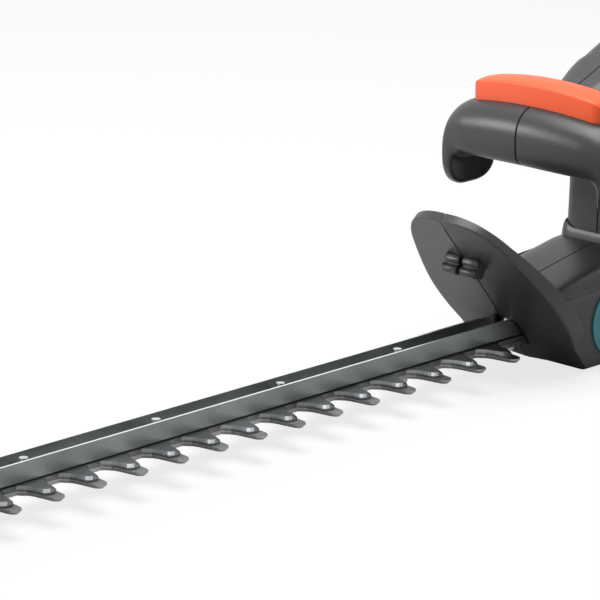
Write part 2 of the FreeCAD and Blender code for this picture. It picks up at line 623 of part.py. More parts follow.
def clip_half():
    """The right half of the hook on the guard's face, which stands on its centre line."""
    body = body_named("clip_half")
    face = "guard_foot_x + (clip_high - guard_foot_z) * tan(guard_lean)"
    corners = [(f"{face} + 1.5", "clip_high + 9"), (f"{face} + 9", "clip_high + 9", "2"),
               (f"{face} + 12.5", "clip_high + 2.5", "2"), (f"{face} + 2", "clip_high - 2")]
    pad(body, outline(sketch_on(body, "XZ_Plane", "clip_slot"), corners), "clip_half - clip_slot")
    return body


def lower_housing():
    """Gear casing, hand guard and base in one clamshell."""
    bosses, through, blind = screw_places(
        "lower_housing", [("26", "7.2", "body_half - 1"), ("-44", "7.2", "body_half - 1"),
                          ("body_rear + 9", "14", "body_half - 1"), ("body_rear + 9", "50", "body_half - 1"),
                          ("16", "46", "barrel_half - 7")], "16")
    rests = [cylinder(f"plate_rest_{i}", "post_radius", "plate_low - wall + 0.5", (x, y, "wall - 0.5"))
             for i, (x, y) in enumerate(POSTS) if y.startswith("-")]
    slot_y = "(spine_half + guard_slot_gap)"
    collar = layer("collar", [("stem_front + 3", "body_top - 5"), ("stem_front + 3", "body_top + 2.6", "2"),
                              ("body_rear + 3", "body_top + 2.6", "2"), ("body_rear + 3", "body_top - 5")],
                   "stem_half + 3", "1.5", lambda m: m.z < size("body_top") + 2)
    outer = fuse("lower_skin", [barrel("barrel", "barrel_half", "0", "barrel_round"),
                                barrel("cheek", "body_half", "cheek_drop", "3"), collar])
    inside = fuse("lower_space", [barrel("barrel_space", "barrel_half", "0", "barrel_round", "wall"),
                                  barrel("cheek_space", "body_half", "cheek_drop", "3", "wall")])
    stem_seat = box("stem_seat", ("body_rear - fit_gap", "-(stem_half + fit_gap)", "body_top"),
                    ("stem_front + fit_gap", "0", "body_top + 9"))
    motor_hole = cylinder("motor_hole", "motor_radius + 0.5", "20", (MOTOR_X, "0", "body_top - 12"))
    shell = cut("lower_shell", fuse("lower_outer", [outer, guard_half(), clip_half()]),
                [inside, stem_seat, motor_hole,
                 box("blade_slot", ("0", f"-{slot_y}", "blade_low - guard_slot_gap"),
                     ("guard_foot_x + 60", "0", "rail_low + rail_high + guard_slot_gap")),
                 cylinder("disc_recess", "disc_radius + disc_ring", "6",
                          ("disc_x", "-(body_half + 5)", "disc_high"), "Y")] +
                [box(f"vent_{i}", (f"body_rear + 14 + {5 * i}", "-(body_half + 1)", "20"),
                     (f"body_rear + 16 + {5 * i}", "-(barrel_half - 5)", "46")) for i in range(6)])
    halves("lower_housing", [shell] + bosses + rests, [], through, blind)
    disc = cylinder("disc_right_source", "disc_radius", "disc_thick",
                    ("disc_x", "-(body_half - 1) - disc_thick", "disc_high"), "Y")
    node(disc, "side_disc_right")
    node(mirrored("side_disc_left", disc), "side_disc_left")


lower_housing()


def upper_housing():
    """Stem, forward arm and closed rear grip in one clamshell, with the battery shoe below."""
    low, shoe_low = "body_top", "(pack_high + 2)"
    stem = layer("stem", [("stem_front", low), ("stem_front - stem_lean", "arm_low - 4", "18"),
                          ("arm_front", "arm_low"), ("arm_front", "arm_high"),
                          ("stem_front + 17", "arm_high + 6.5"), ("crest_x", "crest_z", "20"),
                          ("body_rear + 2", "crest_z"), ("body_rear + 2", low)],
                 "stem_half", "shell_round",
                 lambda m: m.z < size(low) + 1 or m.x > size("arm_front") - 1 or m.x < size("body_rear") + 3)
    loop = body_named("grip_loop")
    sk = outline(sketch_on(loop, "XZ_Plane"),
                 [("crest_x - 8", "crest_z - 1"), ("crest_x - 60", "crest_z - 2", "60"),
                  ("grip_rear", "grip_rear_z", "22"), ("column_rear", "bar_top - 6", "16"),
                  ("column_rear", shoe_low), ("body_rear - fit_gap", shoe_low), ("body_rear - fit_gap", low),
                  ("crest_x - 8", low)])
    window = [("stem_rear - 10", "bar_top", "14"), ("window_rear - 12", "bar_top", "12"),
              ("window_rear + 14", "window_top - window_fall", "14"), ("stem_rear - 10", "window_top", "16")]
    pad(loop, outline(sk, window), "grip_half")
    edge = loop.newObject("PartDesign::Fillet", "OuterRound")
    edge.Base = (edge.BaseFeature, at_outer_face(
        loop, "grip_half", lambda m: m.z < size(low) + 1 or m.x > size("crest_x") - 9))
    edge.setExpression("Radius", "sizes.shell_round - 2")
    shoe = layer("shoe", [("pack_rear - 2", shoe_low), ("pack_rear - 2", f"{shoe_low} + shoe_high", "6"),
                          ("pack_front + 8", f"{shoe_low} + shoe_high", "10"), ("pack_front + 8", shoe_low)],
                 "shoe_half", "6", lambda m: m.z < size(shoe_low) + 1)
    deep, grip_deep = "(stem_half - 6.5)", "(grip_half - 5.5)"
    spaces = [plate("stem_space", "XZ_Plane", "0",
                    [("stem_front - 4", "body_top - 1"), ("stem_front - stem_lean - 4", "arm_low + 1"),
                     ("arm_front + 1", "arm_low + 4"), ("arm_front + 1", "arm_high - 4"),
                     ("stem_front + 15", "arm_high + 2"), ("crest_x", "crest_z - 5"),
                     ("body_rear + 6", "crest_z - 6"), ("body_rear + 6", "body_top - 1")], deep),
              plate("grip_space", "XZ_Plane", "0",
                    [("crest_x - 8", "crest_z - 6"), ("crest_x - 60", "crest_z - 7"),
                     ("grip_rear + 3", "grip_rear_z - 5"), ("column_rear + 5", "bar_top - 6"),
                     ("column_rear + 5", f"{shoe_low} + 9"), ("window_rear - 18", f"{shoe_low} + 9"),
                     ("window_rear + 10", "window_top - window_fall + 4"),
                     ("stem_rear - 9", "window_top + 4")], grip_deep),
              plate("bar_space", "XZ_Plane", "0",
                    [("body_rear + 8", f"{shoe_low} + 4"), ("body_rear + 8", "bar_top - 4"),
                     ("pack_front + 14", "bar_top - 4"), ("pack_front + 14", f"{shoe_low} + 4")], grip_deep),
              cylinder("motor_space", "motor_radius + 0.5", "motor_long + 13",
                       (MOTOR_X, "0", "body_top - 4"))]
    slot = [box("pack_neck_slot", ("pack_rear - 3", "-(rail_neck_half + slide_clear)", f"{shoe_low} - 1"),
                ("pack_front + 1", "0", f"{shoe_low} + 3")),
            box("pack_flange_slot", ("pack_rear - 3", "-(rail_flange_half + slide_clear)",
                                     f"{shoe_low} + 2.6"),
                ("pack_front + 1", "0", f"{shoe_low} + 7.4"))]
    trigger_slot = box("trigger_slot", ("trigger_x - trigger_long - 2", "-(trigger_half + trigger_clear)",
                                        "window_top - window_fall - 4"),
                       ("trigger_x + 6.5", "0", "window_top + 3"))
    bosses, through, blind = screw_places(
        "upper_housing",
        [(x, z, "stem_half - 6") for x, z in (("-38", "112"), ("-2", "136"), ("-78", "176"), ("-84", "72"))] +
        [(x, z, "grip_half - 0.5") for x, z in (("-190", "165"), ("-262", "128"),
                                                ("-190", "pack_high + 15"))], "11")
    pivot = cut("pivot_boss", cylinder("pivot_boss_solid", "5", "grip_half - trigger_half - 4.6",
                                       ("trigger_x", "-(grip_half - 2)", "trigger_z"), "Y"),
                [cylinder("pivot_bore", "trigger_pin", "30",
                          ("trigger_x", "-(grip_half - 4)", "trigger_z"), "Y")])
    pegs = [cylinder("rear_switch_peg", "2.5", "grip_half - 2 - switch_half",
                     ("-152", "-(grip_half - 2)", "171"), "Y"),
            cylinder("board_peg_low", "2.5", "stem_half - 3 - board_half",
                     ("-82", "-(stem_half - 3)", "100"), "Y"),
            cylinder("board_peg_high", "2.5", "stem_half - 3 - board_half",
                     ("-82", "-(stem_half - 3)", "140"), "Y")]
    halves("upper_housing", [cut("upper_shell", fuse("upper_skin", [stem, loop, shoe]),
                                 spaces + slot + [trigger_slot]), pivot] + bosses + pegs, [], through, blind)


upper_housing()


# ---- front handle and its switch bar ---------------------------------------------------------

def front_handle():
    """The crossbar of the front handle, with its drooping ends, in two halves."""
    def outline_at(inset):
        run = f"handle_half - {inset}"
        return [("0", f"handle_high - {inset}"), (f"-({run})", f"handle_high - bar_fall - {inset}",
                                                  f"handle_round - {inset}"),
                (f"-({run})", f"handle_end_low + {inset}"),
                (f"-(handle_half - handle_end_thick + {inset})", f"handle_end_low + {inset}"),
                (f"-(handle_half - handle_end_thick + {inset})", f"handle_low + {inset}",
                 f"8 - {inset} / 2"),
                ("0", f"handle_low + {inset}")]

    bar = body_named("handle_bar")
    pad(bar, outline(sketch_on(bar, "YZ_Plane", "arm_front"), outline_at("0")), "handle_front - arm_front")
    picked = [f"Edge{i}" for i, e in enumerate(bar.Shape.Edges, start=1)
              if e.CenterOfMass.y < -1e-3
              and all(abs(v.X - size("handle_front")) < 1e-3 for v in e.Vertexes)]
    edge = bar.newObject("PartDesign::Fillet", "FrontRound")
    edge.Base = (edge.BaseFeature, picked)
    edge.setExpression("Radius", "sizes.handle_edge")
    space = body_named("handle_space")
    wall = "handle_wall"
    pad(space, outline(sketch_on(space, "YZ_Plane", f"arm_front + {wall}"), outline_at(wall)),
        f"handle_front - arm_front - 2 * {wall} - 1.5")
    well = box("bar_well", ("bar_rear - bar_clear", "-(bar_half + bar_clear)", "handle_high - bar_fall - 11"),
               ("bar_front + bar_clear", "0", "handle_high + 5"))
    seat = cylinder("spring_seat", "5", "spring_low - handle_low - 1",
                    ("spring_x", "-spring_y", "handle_low + 1"))
    bosses, through, blind = screw_places("front_handle",
                                          [("handle_front - 10", "handle_low + 5.5", "22")], "11")
    halves("front_handle", [cut("handle_shell", bar, [space, well]), seat] + bosses, [], through, blind)


front_handle()
BAR_LOW = "(handle_high - bar_sink)"


def front_switch_bar():
    """The long bar on top of the crossbar, pressed down by the hand."""
    body = body_named("front_switch_bar")
    corners = [("0", "bar_high"), ("bar_half", "bar_high - bar_fall", "5"),
               ("bar_half", f"{BAR_LOW} - bar_fall"),
               ("0", BAR_LOW), ("-bar_half", f"{BAR_LOW} - bar_fall"),
               ("-bar_half", "bar_high - bar_fall", "5")]
    pad(body, outline(sketch_on(body, "YZ_Plane", "bar_rear"), corners), "bar_front - bar_rear")
    picked = [f"Edge{i}" for i, e in enumerate(body.Shape.Edges, start=1)
              if all(abs(v.X - size("bar_front")) < 1e-3 and v.Z > size("bar_high - bar_fall") - 6
                     for v in e.Vertexes) and abs(e.CenterOfMass.y) < size("bar_half") - 1e-3]
    edge = body.newObject("PartDesign::Fillet", "TopRound")
    edge.Base = (edge.BaseFeature, picked)
    edge.setExpression("Radius", "3")
    plunger = body.newObject("PartDesign::Pad", "Plunger")
    plunger.Profile = circle(sketch_on(body, "XY_Plane", f"{BAR_LOW} - 7"), "spring_x", "0", "3")
    plunger.setExpression("Length", "8")
    return node(body, "front_switch_bar")


front_switch_bar()


def coil(name, radius, wire, low, high, turns, at):
    """A compression spring standing at a bound point."""
    made = doc.addObject("Part::Helix", name + "_line")
    bind(made, Radius=radius, Pitch=f"(({high}) - ({low}) - 2 * {wire}) / {turns}",
         Height=f"({high}) - ({low}) - 2 * {wire}")
    ring_made = doc.addObject("Part::Circle", name + "_wire")
    ring_made.Placement = Placement(Vector(size(radius), 0, 0), Rotation(Vector(1, 0, 0), 90))
    bind(ring_made, Radius=wire, Placement__Base__x=radius)
    swept = doc.addObject("Part::Sweep", name)
    swept.Sections = [ring_made]
    swept.Spine = (made, [])
    swept.Solid = True
    swept.Frenet = True
    bind(swept, Placement__Base__x=at[0], Placement__Base__y=at[1], Placement__Base__z=f"{low} + {wire}")
    return swept


SPRING_TOP = f"({BAR_LOW} - bar_fall * spring_y / bar_half - 0.3)"
node(group("front_bar_springs", [coil(f"bar_spring_{i}", "3.2", "0.45", "spring_low", SPRING_TOP, 5,
                                      ("spring_x", y, "0")) for i, y in enumerate(("spring_y",
                                                                                   "-spring_y"))]),
     "front_bar_springs")
node(box("front_switch", ("spring_x - 8", "-5", "handle_low + handle_wall"),
         ("spring_x + 8", "5", "handle_low + handle_wall + 17")), "front_switch")


# ---- rear trigger ----------------------------------------------------------------------------

trigger = body_named("trigger")
tx, tz = "trigger_x", "trigger_z"
pad(trigger, outline(sketch_on(trigger, "XZ_Plane", "-trigger_half"),
                     [(f"{tx} + 5", f"{tz} + 5", "3"), (f"{tx} + 5", f"{tz} - 17", "4"),
                      (f"{tx} - 16", f"{tz} - 24"), (f"{tx} - trigger_long + 5", f"{tz} - 31", "5"),
                      (f"{tx} - trigger_long", f"{tz} - 14", "4"), (f"{tx} - 20", f"{tz} + 2", "6")]),
    "2 * trigger_half")
pocket(trigger, circle(sketch_on(trigger, "XZ_Plane", "-trigger_half"), tx, tz, "trigger_pin + run_clear"),
       "2 * trigger_half")
node(trigger, "trigger")
node(cylinder("trigger_pin", "trigger_pin", "2 * (grip_half - 5.6)", (tx, "-(grip_half - 5.6)", tz), "Y"),
     "trigger_pin")
torsion = coil("trigger_spring", "2.9", "0.4", "0", "2.3", 1.5, ("0", "0", "0"))
torsion.Placement = Placement(Vector(size(tx), size("trigger_half + 0.5"), size(tz)),
                              Rotation(Vector(1, 0, 0), -90))
for axis, formula in (("x", tx), ("y", "trigger_half + 0.5"), ("z", tz)):
    torsion.setExpression(f"Placement.Base.{axis}", bound(formula))
node(torsion, "trigger_spring")
node(box("rear_switch", ("-162", "-switch_half", "167"), ("-142", "switch_half", "175")), "rear_switch")
node(box("control_board", ("-84", "-board_half", "94"), ("-80", "board_half", "146")), "control_board")


# ---- battery ---------------------------------------------------------------------------------

def battery():
    """A slide-on pack: case with its rail, cells, contacts and release button."""
    case = body_named("pack_shell")
    pad(case, outline(sketch_on(case, "YZ_Plane", "pack_rear"),
                      [("-pack_half", "0", "pack_round"), ("pack_half", "0", "pack_round"),
                       ("pack_half", "pack_high", "pack_round"), ("-pack_half", "pack_high", "pack_round")]),
        "pack_front - pack_rear")
    rail = [("-rail_neck_half", "pack_high - 1"), ("rail_neck_half", "pack_high - 1"),
            ("rail_neck_half", "pack_high + 5"), ("rail_flange_half", "pack_high + 5"),
            ("rail_flange_half", "pack_high + 9"), ("-rail_flange_half", "pack_high + 9"),
            ("-rail_flange_half", "pack_high + 5"), ("-rail_neck_half", "pack_high + 5")]
    pad(case, outline(sketch_on(case, "YZ_Plane", "pack_rear + 8"), rail), "pack_front - pack_rear - 12")
    space = box("cell_space", ("pack_rear + pack_wall", "-(pack_half - pack_wall)", "pack_wall + 1"),
                ("pack_front - pack_wall", "pack_half - pack_wall", "pack_high - pack_wall"))
    slots = [box(f"contact_slot_{i}", ("pack_front - 24", f"{8 * i} - 1", "pack_high + 4"),
                 ("pack_front - 3", f"{8 * i} + 1", "pack_high + 10")) for i in (-1, 0, 1)]
    well = box("button_well", ("pack_rear - 1", "-14.4", "pack_high - 18.4"),
               ("pack_rear + pack_wall + 1", "14.4", "pack_high - 5.6"))
    node(cut("battery_case", case, [space, well] + slots), "battery_case")
    cells = []
    for row in range(2):
        for column in range(5):
            cells.append(cylinder(f"cell_{row}_{column}", "cell_radius", "cell_long",
                                  (f"pack_front - pack_wall - 3 - cell_radius - {column} * 2.04 * cell_radius",
                                   "-cell_long / 2",
                                   f"pack_wall + 1.3 + cell_radius + {row} * 2.04 * cell_radius"),
                                  "Y"))
    node(group("battery_cells", cells), "battery_cells")
    node(box("cell_wrap", ("pack_rear + pack_wall + 6", "-cell_long / 2",
                           "pack_wall + 1.6 + 4.1 * cell_radius"),
             ("pack_front - pack_wall - 1", "cell_long / 2",
              "pack_high - pack_wall - 0.2")), "battery_cell_holder")
    node(box("button", ("pack_rear - 3", "-14", "pack_high - 18"),
             ("pack_rear + 3.5", "14", "pack_high - 6")),
         "battery_button")
    terminal = box("terminal_body", ("pack_front - 3.5", "-12", "pack_high + 5"),
                   ("pack_front + 1", "12", "pack_high + 9"))
    blades = [box(f"terminal_blade_{i}", ("pack_front - 20", f"{8 * i} - 0.4", "pack_high + 5.5"),
                  ("pack_front - 3.5", f"{8 * i} + 0.4", "pack_high + 8.5")) for i in (-1, 0, 1)]
    node(fuse("terminal_block", [terminal] + blades), "terminal_block")


battery()


# ---- export ----------------------------------------------------------------------------------

doc.recompute()
broken = [thing.Label for thing in doc.Objects if {"Invalid", "Error"} & set(thing.State)]
if broken:
    raise RuntimeError(f"these objects failed: {broken}")
for piece in NODES:
    if piece.Shape.isNull() or not piece.Shape.isValid() or not piece.Shape.Solids:
        raise RuntimeError(f"{piece.Label} has no valid solid")
os.makedirs("parts", exist_ok=True)
for piece in NODES:
    piece.Shape.exportStep(f"parts/{piece.Label}.step")
print(len(NODES), "pieces")
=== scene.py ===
"""A cordless hedge trimmer: twin reciprocating blades on a channel rail, a leaning hand guard,
a T-shaped front handle with its orange switch bar, and a rear grip with a slide-out battery."""

import bmesh
import bpy
import numpy as np
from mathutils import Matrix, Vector


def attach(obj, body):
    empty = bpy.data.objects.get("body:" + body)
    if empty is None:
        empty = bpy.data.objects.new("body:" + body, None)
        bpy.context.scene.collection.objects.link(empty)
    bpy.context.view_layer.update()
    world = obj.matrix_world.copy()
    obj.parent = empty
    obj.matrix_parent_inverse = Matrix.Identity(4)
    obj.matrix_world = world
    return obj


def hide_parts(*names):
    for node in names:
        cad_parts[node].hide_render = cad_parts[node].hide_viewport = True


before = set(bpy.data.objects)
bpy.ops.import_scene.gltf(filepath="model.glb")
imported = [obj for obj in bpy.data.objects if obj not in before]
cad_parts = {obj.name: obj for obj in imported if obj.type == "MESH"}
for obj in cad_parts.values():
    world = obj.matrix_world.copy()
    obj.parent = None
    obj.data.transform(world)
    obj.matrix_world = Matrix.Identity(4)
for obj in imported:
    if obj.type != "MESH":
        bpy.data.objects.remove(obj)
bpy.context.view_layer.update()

# ---- the room ----------------------------------------------------------------------------------
# A pale bench top in a white studio. The bench is a seamless painted board that only catches the
# soft shadow of the tool; two large diffusers hang over it, as in a catalogue studio.


def nodes_of(name):
    """A new node material: the material, its tree, its Principled shader and its output."""
    made = bpy.data.materials.new(name)
    made.use_nodes = True
    tree = made.node_tree
    return made, tree, tree.nodes["Principled BSDF"], tree.nodes["Material Output"]


BENCH_COLOUR = (0.62, 0.62, 0.62, 1)
BENCH_GLOW = 1.06
BENCH_LIFT = 0.72
bench_paint, tree, shader, out = nodes_of("bench_paint")
shader.inputs["Base Color"].default_value = BENCH_COLOUR
shader.inputs["Roughness"].default_value = 0.9
glow = tree.nodes.new("ShaderNodeEmission")
glow.inputs["Strength"].default_value = BENCH_GLOW
lift = tree.nodes.new("ShaderNodeMixShader")
path = tree.nodes.new("ShaderNodeLightPath")
seen = tree.nodes.new("ShaderNodeMath")
seen.operation = "MULTIPLY"
seen.inputs[1].default_value = BENCH_LIFT
tree.links.new(path.outputs["Is Camera Ray"], seen.inputs[0])
tree.links.new(seen.outputs[0], lift.inputs["Fac"])
tree.links.new(shader.outputs[0], lift.inputs[1])
tree.links.new(glow.outputs[0], lift.inputs[2])
tree.links.new(lift.outputs[0], out.inputs["Surface"])

BENCH_HALF = 9.0
BENCH_DROP = 0.0005
side = np.array([-1.0, 1.0, 1.0, -1.0]) * BENCH_HALF
deep = np.array([-1.0, -1.0, 1.0, 1.0]) * BENCH_HALF
bench_mesh = bpy.data.meshes.new("bench")
bench_mesh.from_pydata(np.stack([side, deep, 0 * side - BENCH_DROP], 1).tolist(), [], [(0, 1, 2, 3)])
bench_mesh.materials.append(bench_paint)
bench = bpy.data.objects.new("bench", bench_mesh)
bpy.context.collection.objects.link(bench)

SKY_SEEN = 1.0
SKY_LIT = 0.24
sky = bpy.data.worlds.new("studio")
bpy.context.scene.world = sky
sky.use_nodes = True
sky_tree = sky.node_tree
backing = sky_tree.nodes["Background"]
backing.inputs["Color"].default_value = (1, 1, 1, 1)
ray = sky_tree.nodes.new("ShaderNodeLightPath")
level = sky_tree.nodes.new("ShaderNodeMapRange")
level.inputs["To Min"].default_value = SKY_LIT
level.inputs["To Max"].default_value = SKY_SEEN
white_to = ray.outputs["Is Camera Ray"]
for kind in ("Is Glossy Ray", "Is Transmission Ray"):
    either = sky_tree.nodes.new("ShaderNodeMath")
    either.operation = "MAXIMUM"
    sky_tree.links.new(white_to, either.inputs[0])
    sky_tree.links.new(ray.outputs[kind], either.inputs[1])
    white_to = either.outputs[0]
sky_tree.links.new(white_to, level.inputs["Value"])
sky_tree.links.new(level.outputs[0], backing.inputs["Strength"])


def aim(name, data, at, along):
    """An object that holds a light or a camera at a point and looks the given way, upright."""
    holder = bpy.data.objects.new(name, data)
    holder.location = at
    holder.rotation_euler = Vector(along).to_track_quat("-Z", "Y").to_euler()
    bpy.context.collection.objects.link(holder)
    return holder


def diffuser(name, at, to, wide, power):
    """A square soft light of the given width that hangs at one point and faces another."""
    lamp = bpy.data.lights.new(name, "AREA")
    lamp.size = wide
    lamp.energy = power
    aim(name, lamp, at, Vector(to) - Vector(at))


diffuser("overhead", (0.1, -0.1, 1.9), (0.1, 0, 0), 1.5, 46)
diffuser("key", (1.35, -1.3, 0.62), (0.0, 0, 0.1), 0.62, 17)

VIEW_FROM = (1.6865, 1.4447, 0.6485)
VIEW_ALONG = (-0.6831, -0.6789, -0.2695)
eye = bpy.data.cameras.new("eye")
eye.sensor_width = 36
eye.lens = 225.9
eye.clip_end = 60
bpy.context.scene.camera = aim("eye", eye, VIEW_FROM, VIEW_ALONG)
bpy.context.scene.view_settings.view_transform = "Standard"

# ---- front handle ------------------------------------------------------------------------------
# The T-shaped front handle is two glass-filled nylon halves screwed together on the centre line,
# where a fine seam shows. Its ends droop as flat flaps that stop the hand from sliding off.

MM = 0.001


def moulded(name, colour, rough, grain, mottle):
    """Injection-moulded plastic: a fine spark-eroded grain, and slow changes of shade and gloss."""
    made, tree, shader, _ = nodes_of(name)
    link = tree.links.new
    where = tree.nodes.new("ShaderNodeTexCoord")
    fine = tree.nodes.new("ShaderNodeTexNoise")
    fine.inputs["Scale"].default_value = 1400
    fine.inputs["Detail"].default_value = 2
    slow = tree.nodes.new("ShaderNodeTexNoise")
    slow.inputs["Scale"].default_value = 18
    slow.inputs["Detail"].default_value = 5
    link(where.outputs["Object"], fine.inputs["Vector"])
    link(where.outputs["Object"], slow.inputs["Vector"])
    shade = tree.nodes.new("ShaderNodeValToRGB")
    shade.color_ramp.elements[0].position = 0.35
    shade.color_ramp.elements[0].color = (*[c * (1 - mottle) for c in colour], 1)
    shade.color_ramp.elements[1].position = 0.65
    shade.color_ramp.elements[1].color = (*[min(1, c * (1 + mottle)) for c in colour], 1)
    link(slow.outputs["Fac"], shade.inputs["Fac"])
    link(shade.outputs["Color"], shader.inputs["Base Color"])
    gloss = tree.nodes.new("ShaderNodeMapRange")
    gloss.inputs["To Min"].default_value = rough - 0.05
    gloss.inputs["To Max"].default_value = rough + 0.06
    link(slow.outputs["Fac"], gloss.inputs["Value"])
    link(gloss.outputs[0], shader.inputs["Roughness"])
    raised = tree.nodes.new("ShaderNodeBump")
    raised.inputs["Strength"].default_value = grain
    raised.inputs["Distance"].default_value = 0.0001
    link(fine.outputs["Fac"], raised.inputs["Height"])
    link(raised.outputs["Normal"], shader.inputs["Normal"])
    shader.inputs["Specular IOR Level"].default_value = 0.5
    return made


anthracite = moulded("anthracite_nylon", (0.026, 0.027, 0.029), 0.36, 0.35, 0.08)


def skin(name, rings, material, body, round_trip=False):
    """A closed surface through rings of points, an array (ring, point, xyz) in millimetres. Each ring
    joins its next with quads and closes on itself; the last ring joins the first on a round trip, and
    otherwise one face closes each end. Doubled points merge and the faces turn outwards."""
    count, around = rings.shape[:2]
    ids = np.arange(count * around).reshape(count, around)
    near, far = (ids, np.roll(ids, -1, 0)) if round_trip else (ids[:-1], ids[1:])
    quads = np.stack([near, np.roll(near, -1, 1), np.roll(far, -1, 1), far], -1).reshape(-1, 4).tolist()
    if not round_trip:
        quads += [ids[0][::-1].tolist(), ids[-1].tolist()]
    mesh = bpy.data.meshes.new(name)
    mesh.from_pydata((rings.reshape(-1, 3) * MM).tolist(), [], quads)
    work = bmesh.new()
    work.from_mesh(mesh)
    bmesh.ops.remove_doubles(work, verts=work.verts, dist=2e-6)
    bmesh.ops.dissolve_degenerate(work, edges=work.edges, dist=1e-7)
    bmesh.ops.recalc_face_normals(work, faces=work.faces)
    work.to_mesh(mesh)
    work.free()
    mesh.polygons.foreach_set("use_smooth", np.ones(len(mesh.polygons), bool))
    mesh.set_sharp_from_angle(angle=np.radians(38))
    mesh.materials.append(material)
    piece = bpy.data.objects.new(name, mesh)
    bpy.context.collection.objects.link(piece)
    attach(piece, body)
    return piece


def bent(start, corner, end, cut, runs):
    """A line from start to end by way of a corner: two straight runs joined by a parabola that leaves
    them cut millimetres from the corner, with the given number of points in each of the three."""
    start, corner, end = (np.array(p, float) for p in (start, corner, end))
    off = corner + cut * (start - corner) / np.linalg.norm(start - corner)
    on = corner + cut * (end - corner) / np.linalg.norm(end - corner)
    a, b, c = (np.linspace(0, 1, n, endpoint=False)[:, None] for n in runs)
    turn = (1 - b) ** 2 * off + 2 * b * (1 - b) * corner + b ** 2 * on
    return np.vstack([start + (off - start) * a, turn, on + (end - on) * c, end])


def mirrored(rings):
    """Rings from the centre out, preceded by their mirror image in the middle plane."""
    return np.concatenate([rings[:0:-1] * (1, -1, 1), rings])


HANDLE_HALF = 69.9
HANDLE_X = 31.3
HANDLE_WIDE = 20.3
FLAP_TOP, FLAP_END = 122, 97.2
FLAP_INSIDE = 56
SEAM_MID_Z = 138.5
SEAM_SHRINK = 0.92
RUNS = (40, 24, 30)
outer = bent((0, 157), (HANDLE_HALF, 148.5), (HANDLE_HALF, FLAP_END), 24, RUNS)
inner = bent((0, 120), (FLAP_INSIDE, 119), (FLAP_INSIDE, FLAP_END), 9, RUNS)
arch = np.clip(outer[:, 0] / HANDLE_HALF, 0, 1)
outer[:, 1] += 8.5 * arch * (1 - arch)
flap = np.clip((FLAP_TOP - outer[:, 1]) / (FLAP_TOP - FLAP_END), 0, 1) * (outer[:, 0] > 66)
wide = HANDLE_WIDE * (1 - flap ** 2.1) ** (1 / 2.1)
ahead = HANDLE_X + 3 * flap ** 2 - 6 * arch ** 2
thin = (1 - flap ** 9) ** 0.5
angle = np.linspace(0, 2 * np.pi, 64, endpoint=False) + np.pi / 64
cos, sin = np.cos(angle), np.sin(angle)
power = np.where(cos < 0, 6, np.where(sin > 0, 2.15, 4.2))
across = np.sign(cos) * np.abs(cos) ** (2 / power)
out_in = np.sign(sin) * np.abs(sin) ** (2 / power)
middle = (outer + inner) / 2
reach = (outer - inner) / 2 * thin[:, None]
spread = middle[:, None] + reach[:, None] * out_in[None, :, None]
half = np.dstack([ahead[:, None] + wide[:, None] * across[None], spread[..., 0], spread[..., 1]])
seam = half[:1].copy()
seam[..., 0] = HANDLE_X + (seam[..., 0] - HANDLE_X) * SEAM_SHRINK
seam[..., 2] = SEAM_MID_Z + (seam[..., 2] - SEAM_MID_Z) * SEAM_SHRINK
lip = half[:1] + (0, 0.7, 0)
handle = skin("front_grip", mirrored(np.concatenate([seam, lip, half[1:]])), anthracite, "base")
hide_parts("front_handle_left", "front_handle_right")

# ---- switch bar --------------------------------------------------------------------------------
# The long orange bar that the fingers press down on the front handle. It is one polypropylene
# moulding with a crisp front edge and a gently arched top, held by two springs under it.

orange = moulded("orange_polypropylene", (0.95, 0.105, 0.017), 0.42, 0.2, 0.03)


def rounded(corners, steps=6):
    """A closed outline through (x, y, cut) corners, each corner replaced by a parabola that starts and
    ends its cut away from it."""
    rows = np.array(corners, float)
    at, cut = rows[:, :2], rows[:, 2:]
    back = np.roll(at, 1, 0) - at
    on = np.roll(at, -1, 0) - at
    a = at + cut * back / np.linalg.norm(back, axis=1, keepdims=True)
    b = at + cut * on / np.linalg.norm(on, axis=1, keepdims=True)
    s = np.linspace(0, 1, steps)[None, :, None]
    return ((1 - s) ** 2 * a[:, None] + 2 * s * (1 - s) * at[:, None] + s ** 2 * b[:, None]).reshape(-1, 2)


BAR_END = 50.4
BAR_X = 26
BAR_LOW, BAR_TALL = 152, 19
BAR_NOSE = 6
along = BAR_END * np.sin(np.linspace(0, np.pi / 2, 36))
cross = rounded([(38.3, BAR_LOW, 1), (38.3, 168.9, 1.2), (31, 171, 5), (15, 169.6, 4), (13.6, BAR_LOW, 1)])
nose = np.clip((along - (BAR_END - BAR_NOSE)) / BAR_NOSE, 0, 1)
shrink = 1 - np.sqrt(1 - nose ** 2)
fall = 6 * (along / BAR_END) ** 2
high = (cross[:, 1] - BAR_LOW) / BAR_TALL
bow_back = 7 * (along / HANDLE_HALF) ** 2
bar_x = BAR_X - bow_back[:, None] + (cross[None, :, 0] - BAR_X) * (1 - 0.35 * shrink[:, None])
bar_z = cross[None, :, 1] - (fall[:, None] + 5 * shrink[:, None]) * high[None]
bar_rings = np.dstack([bar_x, np.broadcast_to(along[:, None], bar_x.shape), bar_z])
bar = skin("switch_bar_cover", mirrored(bar_rings), orange, "switch_bar")
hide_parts("front_switch_bar")

# ---- hand guard --------------------------------------------------------------------------------
# The shield in front of the casing is moulded in one with its halves: a thin sheet with a shallow
# keel, a deep rim behind its edge, a seam down the middle and a slot where the blades come out.

FOOT_X, FOOT_Z = 37.3, 0.6
LEAN = np.radians(38.91)
UP = np.array([np.sin(LEAN), 0, np.cos(LEAN)])
FACING = np.array([np.cos(LEAN), 0, -np.sin(LEAN)])
GUARD_LONG = 127.5
HANDS = (("left", 1), ("right", -1))


